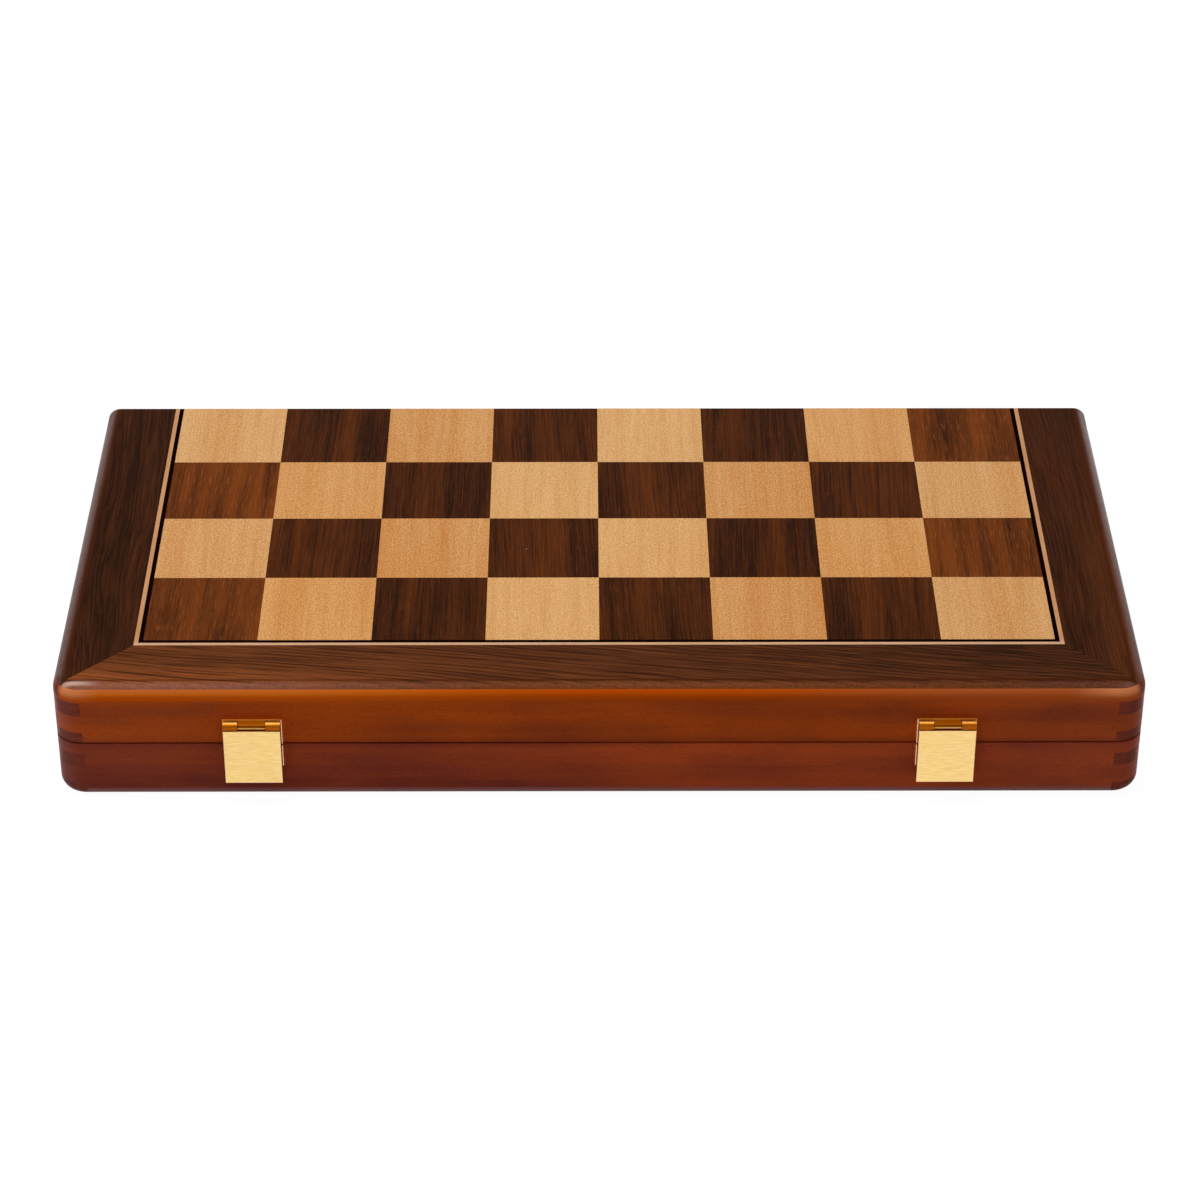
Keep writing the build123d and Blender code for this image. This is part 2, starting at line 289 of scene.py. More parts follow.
wallFinish = {
    "lidLight": tint(228, 97, 8),
    "lidDeep": tint(132, 54, 30),
    "baseLight": tint(228, 97, 34),
    "baseDeep": tint(132, 54, 42),
    "sideLight": tint(150, 66, 40),
    "sideDeep": tint(108, 46, 32),
    "sideEdgeSheen": tint(92, 62, 58),
    "endGrain": tint(132, 60, 44),
    "endRing": tint(150, 69, 50),
    "rubHighlightLeft": tint(212, 92, 10),
    "rubHighlightMiddle": tint(178, 69, 0),
    "rubHighlightRight": tint(188, 84, 30),
    "crestHighlightLeft": tint(228, 114, 24),
    "crestHighlightMiddle": tint(205, 83, 0),
    "crestHighlightRight": tint(190, 94, 44),
    "bare": tint(230, 96, 6),
    "cornerHighlight": tint(238, 145, 92),
    "cornerShade": tint(126, 54, 34),
    "hazed": tint(168, 106, 102),
    "fleck": tint(92, 32, 12),
    "parting": 24.5, "height": 49.0,
    "roughness": 0.34,
    "gloss": 0.03,
}


def varnished(tree, x, y):
    # how thick the varnish lies on the rounded side edges: most at the back of the right one
    onRight = calc(tree, "GREATER_THAN", x, 0.0)
    left = ease(tree, y, -95.0, -40.0, 0.11, 0.2)
    right = ease(tree, y, -85.0, 90.0, 0.05, 0.52)
    return put(tree, "ShaderNodeMix", {0: onRight, 2: left, 3: right}).outputs[0]


def stainedBeech(name, alongX):
    material, tree, shader, place = newMaterial(name)
    look = wallFinish
    x, y, z = split(tree, place)[:3]
    vector = place if alongX else join(tree, y, x, z)
    figure = useGroup(tree, woodFigure, vector=vector, seed=3.0, streakWidth=8.0, lineWidth=2.6,
                      wander=3.0, poreLength=2.2)
    lid = calc(tree, "GREATER_THAN", z, look["parting"])
    # the lid's board pales to the left; the base's to the right, and towards its rim, though both darken
    # close to the parting line
    lidTone = ease(tree, x, -120.0, 60.0, 0.6, 0.47)
    upper = calc(tree, "MULTIPLY", ease(tree, z, 31.0, 35.0), ease(tree, x, -10.0, 90.0, 0.0, -0.12))
    highest = calc(tree, "MULTIPLY", ease(tree, z, 38.5, 41.0), ease(tree, x, -70.0, -20.0, 0.0, 0.14))
    lidTone = calc(tree, "ADD", lidTone, calc(tree, "ADD", upper, highest))
    lidTone = calc(tree, "ADD", lidTone, ease(tree, z, 24.5, 28.0, -0.2, 0.0))
    baseTone = ease(tree, x, -200.0, 100.0, 0.1, 0.47)
    baseTone = calc(tree, "ADD", baseTone, ease(tree, x, 100.0, 199.0, 0.0, -0.1))
    baseTone = calc(tree, "ADD", baseTone, ease(tree, z, 13.0, 17.0, 0.0, 0.15))
    baseTone = calc(tree, "ADD", baseTone, ease(tree, z, 21.0, 24.0, 0.0, -0.12))
    tone = put(tree, "ShaderNodeMix", {0: lid, 2: baseTone, 3: lidTone}).outputs[0]
    tone = vary(tree, tone, figure["Streak"], 0.32)
    tone = vary(tree, tone, grain(tree, place, (38, 38, 14), 3.0), 0.7)
    tone = vary(tree, tone, figure["Fibre"], 0.07)
    tone = vary(tree, tone, grain(tree, place, (0.8, 0.7, 0.9), 2.0, 0.6), 0.22)
    # how far round the corner a point looks, from -10 along this wall's face to 10 across it
    fromMiddle = calc(tree, "ABSOLUTE", x)
    outX = calc(tree, "SUBTRACT", fromMiddle, 189.0)
    outY = calc(tree, "SUBTRACT", calc(tree, "ABSOLUTE", y), 89.5)
    turn = calc(tree, "SUBTRACT", outX, outY) if alongX else calc(tree, "SUBTRACT", outY, outX)
    deep = blendColour(tree, lid, look["baseDeep"], look["lidDeep"])
    light = blendColour(tree, lid, look["baseLight"], look["lidLight"])
    if not alongX:
        # the side walls took more stain where they turn the corners
        atCorner = ease(tree, turn, -5.0, -1.5)
        deep = blendColour(tree, atCorner, deep, look["sideDeep"])
        light = blendColour(tree, atCorner, light, look["sideLight"])
    colour = blendColour(tree, tone, deep, light)
    colour = blendColour(tree, calc(tree, "MULTIPLY", figure["Pores"], 0.22), colour, look["fleck"])
    if alongX:
        # the rounded front edges: the lid's has its stain worn thin, most at its left and under the board,
        # and a painted highlight along it; a faint painted sheen lies towards both ends of each wall
        colour = blendColour(tree, ease(tree, fromMiddle, 110.0, 190.0, 0.0, 0.07), colour, look["hazed"])
        toMiddle, toRight = ease(tree, x, -130.0, 0.0), ease(tree, x, 40.0, 150.0)
        rubHighlight = blendColour(tree, toMiddle, look["rubHighlightLeft"], look["rubHighlightMiddle"])
        rubHighlight = blendColour(tree, toRight, rubHighlight, look["rubHighlightRight"])
        rubHighlight = blendColour(tree, calc(tree, "MULTIPLY", figure["Streak"], 0.2), rubHighlight, look["bare"])
        # a narrow line where the rounding meets the wall face: stain worn thin plus a painted highlight,
        # strongest at the left
        arris = calc(tree, "ABSOLUTE", calc(tree, "SUBTRACT", z, 44.2))
        bare = calc(tree, "MULTIPLY", ease(tree, arris, 0.3, 1.5, 1.0, 0.0),
                    ease(tree, x, -150.0, 120.0, 0.6, 0.1))
        rubHighlight = blendColour(tree, bare, rubHighlight, look["bare"])
        # a painted highlight along the upper part of the rounding, brightest at the left
        crestHighlight = blendColour(tree, toMiddle, look["crestHighlightLeft"], look["crestHighlightMiddle"])
        crestHighlight = blendColour(tree, toRight, crestHighlight, look["crestHighlightRight"])
        rubHighlight = blendColour(tree, ease(tree, z, 44.6, 46.0), rubHighlight, crestHighlight)
        # a painted sheen over the upper rounding, towards the left
        sheenShare = calc(tree, "MULTIPLY", ease(tree, z, 45.6, 47.4), ease(tree, x, -190.0, -40.0, 0.2, 0.0))
        rubHighlight = blendColour(tree, sheenShare, rubHighlight, look["hazed"])
        # a painted highlight at both ends, and painted shade where the rounding turns round the corners
        atEnds = calc(tree, "ADD", ease(tree, x, -180.0, -193.0, 0.0, 0.85),
                      ease(tree, x, 168.0, 192.0, 0.0, 0.9))
        endHighlight = calc(tree, "MULTIPLY", ease(tree, z, 43.6, 46.0, 0.1, 1.0), atEnds)
        rubHighlight = blendColour(tree, endHighlight, rubHighlight, look["cornerHighlight"])
        rubHighlight = blendColour(tree, ease(tree, turn, -2.0, 3.0), rubHighlight, look["cornerShade"])
        atFront = ease(tree, y, -80.0, -88.0)
        colour = blendColour(tree, calc(tree, "MULTIPLY", ease(tree, z, 42.2, 43.8), atFront), colour, rubHighlight)
        # the back wall's ends take part in the rounded side edges and their painted sheen
        atEnd = calc(tree, "MULTIPLY", ease(tree, fromMiddle, 188.0, 192.0), ease(tree, z, 43.0, 45.5))
        atEnd = calc(tree, "MULTIPLY", atEnd, calc(tree, "SUBTRACT", 1.0, atFront))
        colour = blendColour(tree, atEnd, colour, look["sideEdgeSheen"])
        # a painted sheen along the base's bottom rounded edge
        colour = blendColour(tree, ease(tree, z, 5.2, 3.4), colour, look["hazed"])
    else:
        # a painted sheen along the rounded top edges of the side walls
        colour = blendColour(tree, ease(tree, z, 44.4, 45.8), colour, look["sideEdgeSheen"])
    # the ends of the fingers took more stain; they are what looks along this wall's own grain
    endFace = ease(tree, turn, 3.2, 6.6)
    if alongX:
        endFace = calc(tree, "MULTIPLY", endFace, calc(tree, "SUBTRACT", 1.0, atEnd))
    rings = grain(tree, place, (6, 6, 1.1), 2.0)
    endColour = blendColour(tree, ease(tree, rings, 0.35, 0.65), look["endGrain"], look["endRing"])
    colour = blendColour(tree, endFace, colour, endColour)
    # a painted sheen down the left front corner
    corner = ease(tree, calc(tree, "ABSOLUTE", turn), 9.5, 3.0)
    corner = calc(tree, "MULTIPLY", corner, ease(tree, y, -60.0, -85.0))
    corner = calc(tree, "MULTIPLY", corner, ease(tree, x, -150.0, -190.0, 0.0, 0.2))
    corner = calc(tree, "MULTIPLY", corner, ease(tree, z, 43.8, 42.6))
    colour = blendColour(tree, corner, colour, look["hazed"])
    specks = useGroup(tree, dustSpecks, vector=place, spacing=11.0, amount=0.06)["Mask"]
    colour = blendColour(tree, calc(tree, "MULTIPLY", specks, 0.5), colour, tint(235, 225, 210))
    feed(tree, colour, shader, "Base Color")
    rough = calc(tree, "MULTIPLY_ADD", figure["Fibre"], 0.12, look["roughness"] - 0.06)
    feed(tree, calc(tree, "MULTIPLY_ADD", endFace, 0.1, rough), shader, "Roughness")
    setShader(shader, specularIORLevel=look["gloss"])
    if not alongX:
        # the varnish gathered along the rounded side edges
        coat = calc(tree, "MULTIPLY", ease(tree, z, 43.6, 45.4), varnished(tree, x, y))
        feed(tree, coat, shader, "Coat Weight")
        setShader(shader, coatRoughness=0.3)
    addBump(tree, shader, figure["Height"], 0.00003)
    return material


dress(stainedBeech("stained beech along the front", True),
      "base_front_wall", "base_back_wall", "lid_front_wall", "lid_back_wall")
dress(stainedBeech("stained beech along the sides", False),
      "base_left_wall", "base_right_wall", "lid_left_wall", "lid_right_wall")
print("walls stained")


# walnut border of the board, mitred at the front corners

borderFinish = {
    "pale": tint(150, 80, 38),
    "dark": tint(40, 18, 7),
    "line": tint(38, 17, 3),
    "arris": tint(74, 29, 2),
    "skin": tint(178, 128, 122),
    "glint": tint(214, 172, 158),
    "roundStart": 5.2,
    "roughness": 0.34,
    "gloss": 0.03,
}


def walnutBorder(name, alongX):
    material, tree, shader, place = newMaterial(name)
    look = borderFinish
    x, y, z = split(tree, place)[:3]
    vector = place if alongX else join(tree, y, x, z)
    lean = {"Vector": vector, "Angle": 0.15 if alongX else 0.02}
    leaning = put(tree, "ShaderNodeVectorRotate", lean, rotation_type="Z_AXIS").outputs[0]
    figure = useGroup(tree, woodFigure, vector=leaning, seed=8.0 if alongX else 12.0,
                      streakWidth=5.0, lineWidth=2.1 if alongX else 2.6, wander=7.0, poreLength=4.0)
    fromSide = calc(tree, "SUBTRACT", 199.0, calc(tree, "ABSOLUTE", x))
    fromFront = calc(tree, "ADD", y, 99.5)
    inset = calc(tree, "MINIMUM", fromSide, fromFront)
    rounded = ease(tree, inset, 5.0, 2.4)
    if alongX:
        # the front piece is palest at its left end, near the outer edge
        outer = calc(tree, "MULTIPLY", ease(tree, y, -80.0, -95.0), ease(tree, x, -20.0, -190.0, 0.04, 0.42))
        tone = calc(tree, "ADD", outer, ease(tree, x, -190.0, 0.0, 0.43, 0.3))
        tone = calc(tree, "ADD", tone, ease(tree, x, 30.0, 180.0, 0.0, -0.15))
        # a painted highlight brightens the rounding, least at the left end
        roundHighlight = ease(tree, x, -140.0, 20.0, 0.04, 0.27)
        roundHighlight = calc(tree, "ADD", roundHighlight, ease(tree, x, 90.0, 180.0, 0.04, -0.04))
        tone = calc(tree, "MULTIPLY_ADD", rounded, roundHighlight, tone)
        streaks, fibres, lines = 0.14, 0.36, 0.75
    else:
        # the right piece has a paler, redder outer strip that fades to the back
        outer = calc(tree, "MULTIPLY", ease(tree, x, 176.0, 194.0), ease(tree, y, 120.0, -90.0))
        tone = calc(tree, "MULTIPLY_ADD", outer, 0.1, calc(tree, "MULTIPLY_ADD", x, 0.0001, 0.09))
        # and a faint painted highlight on the side pieces' rounding
        tone = calc(tree, "MULTIPLY_ADD", rounded, 0.08, tone)
        streaks, fibres, lines = 0.09, 0.16, 0.12
    # across the rounding the grain gives way to speckles
    flat = calc(tree, "MULTIPLY_ADD", rounded, -0.8, 1.0)
    tone = vary(tree, tone, figure["Streak"], calc(tree, "MULTIPLY", flat, streaks))
    tone = vary(tree, tone, figure["Fibre"], calc(tree, "MULTIPLY", flat, fibres))
    speckle = grain(tree, place, (1.1, 0.8, 0.8), 2.0, 0.7)
    tone = vary(tree, tone, speckle, calc(tree, "MULTIPLY", rounded, 0.9 if alongX else 0.6))
    colour = blendColour(tree, tone, look["dark"], look["pale"])
    lines = calc(tree, "MULTIPLY", calc(tree, "MULTIPLY", figure["Lines"], flat), lines)
    colour = blendColour(tree, lines, colour, look["line"])
    colour = blendColour(tree, calc(tree, "MULTIPLY", figure["Pores"], 0.25), colour, look["line"])
    # the cutter that rounded the edge left a fine dark line where it met the face
    away = calc(tree, "ABSOLUTE", calc(tree, "SUBTRACT", inset, look["roundStart"]))
    arris = ease(tree, away, 0.3, 0.85, 0.9, 0.0)
    arris = calc(tree, "MULTIPLY", arris, ease(tree, x, -120.0, 20.0, 0.6, 1.0))
    colour = blendColour(tree, arris, colour, look["arris"])
    # and a mottled painted sheen over the rounding, stronger to the left
    mottle = ease(tree, grain(tree, place, (1.6, 1.1, 1.1), 2.0, 0.7), 0.38, 0.62, 0.5, 1.0)
    sheenStrength = 0.24
    if alongX:
        sheenStrength = ease(tree, x, -160.0, -30.0, 0.3, 0.0)
        sheenStrength = calc(tree, "ADD", sheenStrength, ease(tree, x, 130.0, 180.0, 0.0, 0.08))
        sheenStrength = calc(tree, "ADD", sheenStrength, ease(tree, x, 186.0, 194.0, 0.0, 0.3))
    sheenShare = calc(tree, "MULTIPLY", calc(tree, "MULTIPLY", rounded, mottle), sheenStrength)
    colour = blendColour(tree, sheenShare, colour, look["skin"])
    if alongX:
        # a painted highlight where the varnish catches the light over the left corner
        high = calc(tree, "ABSOLUTE", calc(tree, "SUBTRACT", inset, 3.7))
        glint = calc(tree, "MULTIPLY", ease(tree, x, -197.0, -193.0), ease(tree, x, -179.0, -191.0))
        glint = calc(tree, "MULTIPLY", ease(tree, high, 0.2, 1.5, 0.85, 0.0), glint)
        colour = blendColour(tree, glint, colour, look["glint"])
    specks = useGroup(tree, dustSpecks, vector=place, spacing=12.0, amount=0.1)["Mask"]
    colour = blendColour(tree, calc(tree, "MULTIPLY", specks, 0.6), colour, tint(230, 222, 210))
    feed(tree, colour, shader, "Base Color")
    rough = calc(tree, "MULTIPLY_ADD", figure["Fibre"], 0.1, look["roughness"] - 0.05)
    feed(tree, rough, shader, "Roughness")
    setShader(shader, specularIORLevel=look["gloss"])
    if not alongX:
        coat = calc(tree, "MULTIPLY", ease(tree, inset, 3.9, 3.0), varnished(tree, x, y))
        feed(tree, coat, shader, "Coat Weight")
        setShader(shader, coatRoughness=0.3)
    addBump(tree, shader, figure["Height"], 0.00003)
    return material


dress(walnutBorder("walnut border along the front", True), "base_front_border", "lid_front_border")
dress(walnutBorder("walnut border along the sides", False),
      "base_left_border", "base_right_border", "lid_left_border", "lid_right_border")
print("border laid")


# the squares

squareFinish = {
    "walnutDeep": tint(44, 19, 6),
    "walnutPale": tint(122, 60, 18),
    "walnutLine": tint(32, 14, 3),
    "walnutFleck": tint(178, 104, 52),
    "mapleDeep": tint(196, 124, 58),
    "maplePale": tint(238, 192, 132),
    "mapleFleck": tint(176, 108, 50),
    "warm": (1.0, 0.965, 0.9, 1.0),
    "cool": (1.0, 1.07, 1.2, 1.0),
    "roughness": 0.32,
    "gloss": 0.04,
}


def walnutSquares():
    material, tree, shader, place = newMaterial("walnut squares")
    look = squareFinish
    board = useGroup(tree, stripBoard, vector=place)
    vector = board["Grain Vector"]
    figure = useGroup(tree, woodFigure, vector=vector, seed=21.0, streakWidth=8.0,
                      lineWidth=2.0, wander=3.0, poreLength=6.0)
    # the paler a strip, the livelier it is
    tone = vary(tree, board["Tone"], figure["Streak"], calc(tree, "MULTIPLY_ADD", board["Tone"], 0.95, 0.16))
    cloud = grain(tree, vector, (45, 11, 11), 2.0)
    tone = vary(tree, tone, cloud, calc(tree, "MULTIPLY", board["Tone"], 1.2))
    tone = vary(tree, tone, figure["Fibre"], calc(tree, "MULTIPLY_ADD", board["Tone"], 0.1, 0.28))
    tone = vary(tree, tone, grain(tree, place, (0.8, 0.8, 0.8), 2.0, 0.7), 0.35)
    tone = vary(tree, tone, board["Square"], 0.04)
    colour = blendColour(tree, tone, look["walnutDeep"], look["walnutPale"])
    # and the more short pale flecks lie along its grain
    flecks = ease(tree, grain(tree, vector, (8.0, 0.5, 0.5), 2.0, 0.5), 0.54, 0.72)
    flecks = calc(tree, "MULTIPLY", flecks, ease(tree, board["Tone"], 0.2, 0.7, 0.08, 0.32))
    colour = blendColour(tree, flecks, colour, look["walnutFleck"])
    dark = calc(tree, "MAXIMUM", calc(tree, "MULTIPLY", figure["Lines"], 0.08),
                calc(tree, "MULTIPLY", figure["Pores"], 0.15))
    dark = calc(tree, "MAXIMUM", dark, calc(tree, "MULTIPLY", board["Joint"], 0.2))
    colour = blendColour(tree, dark, colour, look["walnutLine"])
    specks = useGroup(tree, dustSpecks, vector=place, spacing=14.0, amount=0.08)["Mask"]
    colour = blendColour(tree, calc(tree, "MULTIPLY", specks, 0.4), colour, tint(220, 205, 190))
    feed(tree, colour, shader, "Base Color")
    rough = calc(tree, "MULTIPLY_ADD", figure["Fibre"], 0.1, look["roughness"] - 0.05)
    feed(tree, rough, shader, "Roughness")
    setShader(shader, specularIORLevel=look["gloss"])
    addBump(tree, shader, figure["Height"], 0.00003)
    return material


def mapleSquares():
    material, tree, shader, place = newMaterial("maple squares")
    look = squareFinish
    board = useGroup(tree, stripBoard, vector=place)
    vector = board["Grain Vector"]
    figure = useGroup(tree, woodFigure, vector=vector, seed=33.0, streakWidth=12.0,
                      lineWidth=6.5, wander=5.0, poreLength=1.8)
    flecks = grain(tree, vector, (1.0, 0.55, 0.55), 2.0, 0.6)
    # curl: ripples across the grain, strong only here and there
    curl = stretch(tree, grain(tree, vector, (0.9, 2.6, 2.6), 1.0, 0.5, 0.8), 2.4)
    curled = ease(tree, grain(tree, vector, (26, 18, 18), 1.0), 0.5, 0.64)
    # a painted sheen pales the squares a little towards the hinges
    sheenToBack = ease(tree, split(tree, place)[1], -50.0, 90.0)
    tone = vary(tree, calc(tree, "MULTIPLY_ADD", sheenToBack, 0.04, board["Tone"]), figure["Streak"], 0.22)
    tone = vary(tree, tone, board["Square"], 0.06)
    tone = vary(tree, tone, curl, calc(tree, "MULTIPLY", curled, 0.22))
    tone = vary(tree, tone, flecks, 1.8)
    tone = vary(tree, tone, figure["Fibre"], 0.13)
    colour = blendColour(tree, tone, look["mapleDeep"], look["maplePale"])
    # each strip has its own coolness, and a painted sheen cools the squares towards the hinges
    cool = calc(tree, "ADD", board["Cool"], calc(tree, "MULTIPLY_ADD", sheenToBack, 0.4, -0.05))
    colour = blendColour(tree, 1.0, colour, blendColour(tree, cool, look["warm"], look["cool"]), "MULTIPLY")
    dark = calc(tree, "MAXIMUM", calc(tree, "MULTIPLY", figure["Lines"], 0.16),
                calc(tree, "MULTIPLY", figure["Pores"], 0.14))
    dark = calc(tree, "MAXIMUM", dark, calc(tree, "MULTIPLY", board["Joint"], 0.1))
    colour = blendColour(tree, dark, colour, look["mapleFleck"])
    feed(tree, colour, shader, "Base Color")
    rough = calc(tree, "MULTIPLY_ADD", flecks, 0.12, look["roughness"] - 0.06)
    feed(tree, rough, shader, "Roughness")
    setShader(shader, specularIORLevel=look["gloss"])
    addBump(tree, shader, calc(tree, "MULTIPLY_ADD", flecks, 0.5, figure["Height"]), 0.00002)
    return material


dress(walnutSquares(), "base_dark_squares", "lid_dark_squares")
dress(mapleSquares(), "base_light_squares", "lid_light_squares")
print("squares laid")


# the two inlaid lines

lineFinish = {
    "pale": tint(212, 168, 132),
    "paleDeep": tint(172, 114, 70),
    "sideRun": (0.97, 0.85, 0.7, 1.0),
    "black": tint(8, 2, 1),
    "blackWorn": tint(30, 12, 4),
    "roughness": 0.32,
}


def inlaidLine(name, low, high, share, gloss):
    material, tree, shader, place = newMaterial(name)
    fibre = grain(tree, place, (1.1, 1.1, 1.1), 3.0, 0.6)
    cloud = grain(tree, place, (24, 24, 24), 2.0)
    # the front run is a little paler than the side runs, and less yellow
    atSide = ease(tree, split(tree, place)[1], -70.0, -69.0)
    tone = calc(tree, "ADD", calc(tree, "MULTIPLY", fibre, share), calc(tree, "MULTIPLY", cloud, share))
    tone = calc(tree, "MULTIPLY_ADD", atSide, -0.14, calc(tree, "ADD", tone, 0.14))
    colour = blendColour(tree, tone, low, high)
    feed(tree, blendColour(tree, atSide, colour, lineFinish["sideRun"], "MULTIPLY"), shader, "Base Color")
    rough = calc(tree, "MULTIPLY_ADD", fibre, 0.1, lineFinish["roughness"] - 0.05)
    feed(tree, rough, shader, "Roughness")
    setShader(shader, specularIORLevel=gloss)
    addBump(tree, shader, fibre, 0.00002)
    return material


dress(inlaidLine("pale inlay", lineFinish["paleDeep"], lineFinish["pale"], 0.75, 0.04),
      "base_pale_line", "lid_pale_line")
dress(inlaidLine("black inlay", lineFinish["black"], lineFinish["blackWorn"], 0.3, 0.0),
      "base_black_line", "lid_black_line")


# plywood panel under each lining

panelFinish = {"face": tint(206, 168, 118), "streak": tint(176, 132, 84), "core": tint(140, 98, 60)}


def birchPanel():
    material, tree, shader, place = newMaterial("birch plywood")
    figure = useGroup(tree, woodFigure, vector=place, seed=40.0, streakWidth=14.0, lineWidth=5.0,
                      wander=10.0, poreLength=2.5)
    colour = blendColour(tree, figure["Streak"], panelFinish["streak"], panelFinish["face"])
    colour = blendColour(tree, calc(tree, "MULTIPLY", figure["Lines"], 0.3), colour, panelFinish["core"])
    feed(tree, colour, shader, "Base Color")
    feed(tree, calc(tree, "MULTIPLY_ADD", figure["Fibre"], 0.2, 0.55), shader, "Roughness")
    addBump(tree, shader, figure["Height"], 0.00004)
    return material


dress(birchPanel(), "base_panel", "lid_panel")
print("lines and panels done")


# felt linings: a thin sheet glued into each well

feltLining = {
    "side": 376.4, "depth": 177.4, "thickness": 1.0,
    "baseFloor": 5.35, "lidCeiling": 43.65,
    "step": 3.0, "rimRadius": 0.45, "ripple": 0.05,
    "green": tint(30, 74, 46), "shade": tint(17, 48, 30), "lint": tint(92, 132, 98),
}


def rimPlaces(length, step, radius):
    # evenly spaced places along one side, closer together at the cut edges
    near = radius * (1 - np.cos(np.linspace(0, math.pi / 2, 5)))
    middle = np.linspace(radius + step, length - radius - step, int(length / step) - 1)
    return np.concatenate([near, middle, length - near[::-1]]) - length / 2


def feltSheet(name, body, node, outer, up):
    # two skins over one grid: the glued face is flat, the open face rises from the cut edge
    # on a quarter circle and ripples a little; they meet in the middle of the edge
    cut = feltLining
    xs = rimPlaces(cut["side"], cut["step"], cut["rimRadius"])
    ys = rimPlaces(cut["depth"], cut["step"], cut["rimRadius"])
    gridX, gridY = np.meshgrid(xs, ys, indexing="ij")
    inward = np.minimum(cut["side"] / 2 - np.abs(gridX), cut["depth"] / 2 - np.abs(gridY))
    share = np.clip(inward / cut["rimRadius"], 0, 1)
    rise = np.sqrt(np.clip(1 - (1 - share) ** 2, 0, 1)) * cut["thickness"] / 2
    ripple = np.sin(gridX / 23 + 1.3) * np.sin(gridY / 17 + 0.4)
    ripple += 0.6 * np.sin(gridX / 9.1) * np.sin(gridY / 7.7)
    ripple = cut["ripple"] * share * (ripple / 1.6 - 1) / 2
    middle = cut["thickness"] / 2
    openFace = middle + rise + ripple
    gluedFace = middle - rise
    rows, columns = gridX.shape
    number = np.arange(rows * columns).reshape(rows, columns)
    rim = np.zeros((rows, columns), bool)
    rim[[0, -1], :] = True
    rim[:, [0, -1]] = True
    lower = number + rows * columns
    lower[rim] = number[rim]  # the skins share the points of the rim
    heights = [outer + up * openFace, outer + up * gluedFace]
    points = np.concatenate([np.stack([gridX, gridY, h], -1).reshape(-1, 3) for h in heights]) / 1000

    def quads(index):
        return np.stack([index[:-1, :-1], index[1:, :-1], index[1:, 1:], index[:-1, 1:]], -1).reshape(-1, 4)

    top, bottom = quads(number), quads(lower)[:, ::-1]
    faces = np.concatenate([top, bottom])
    if up < 0:
        faces = faces[:, ::-1]
    used, faces = np.unique(faces, return_inverse=True)
    mesh = bpy.data.meshes.new(name)
    mesh.from_pydata(points[used].tolist(), [], faces.reshape(-1, 4).tolist())
    mesh.shade_smooth()
    mesh.update()
    piece = bpy.data.objects.new(name, mesh)
    bpy.context.scene.collection.objects.link(piece)
    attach(piece, body)
    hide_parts(node)
    return piece


def greenFelt():
    material, tree, shader, place = newMaterial("green felt")
    look = feltLining
    hairs = grain(tree, place, (0.5, 0.5, 0.5), 4.0, 0.7, 0.6)
    clumps = grain(tree, place, (3.5, 3.5, 3.5), 3.0)
    nap = grain(tree, place, (60, 40, 40), 2.0)
    tone = calc(tree, "MULTIPLY_ADD", clumps, 0.5, calc(tree, "MULTIPLY", hairs, 0.5))
    tone = calc(tree, "MULTIPLY_ADD", calc(tree, "SUBTRACT", nap, 0.5), 0.5, tone)
    colour = blendColour(tree, tone, look["shade"], look["green"])
    colour = blendColour(tree, ease(tree, hairs, 0.6, 0.78, 0.0, 0.25), colour, look["lint"])
    feed(tree, colour, shader, "Base Color")
    feed(tree, calc(tree, "MULTIPLY_ADD", hairs, 0.1, 0.85), shader, "Roughness")
    setShader(shader, specularIORLevel=0.2, sheenWeight=0.3, sheenRoughness=0.5)
    addBump(tree, shader, calc(tree, "MULTIPLY_ADD", hairs, 0.6, clumps), 0.0003)
    return material


felt = greenFelt()
for name, body, outer, up in (("base_felt", "base", feltLining["baseFloor"], 1),
                              ("lid_felt", "lid", feltLining["lidCeiling"], -1)):
    feltSheet(name, body, body + "_lining", outer, up).data.materials.append(felt)
print("felt glued in")


# brass

brassFinish = {
    "bright": tint(255, 222, 158),
    "brushed": tint(240, 192, 112),
    "cloud": tint(250, 218, 132),
    "gold": tint(214, 150, 52),
    "knuckleHighlight": tint(240, 176, 88),
    "knuckleLitTop": tint(192, 110, 20),
    "knuckleShadedLow": tint(168, 80, 0),
    "tarnish": tint(150, 92, 26),
    "plate": tint(134, 67, 0),
    "platePale": tint(154, 82, 6),
    "tabTopHighlight": tint(212, 126, 14),
    "tabFallShade": tint(164, 88, 4),
    "plateTopHighlight": tint(255, 200, 80),
    "tabEndHighlight": tint(240, 194, 112),
    "rim": tint(255, 216, 158),
    "sideEdgeSheen": tint(255, 216, 170),
    "polishRoughness": 0.22, "brushRoughness": 0.3, "dullRoughness": 0.56,
    "claspPlace": 126.4, "flapEdge": 10.4, "flapFoot": 9.9, "flapTop": 32.88, "plateEdge": 10.8,
    "tabFront": -103.3, "tabFoot": 33.85, "plateHead": 35.3, "plateFront": -100.3,
}


def besideClasp(tree, x):
    # how far a point lies sideways from the middle of its clasp
    fromMiddle = calc(tree, "SUBTRACT", calc(tree, "ABSOLUTE", x), brassFinish["claspPlace"])
    return calc(tree, "ABSOLUTE", fromMiddle)


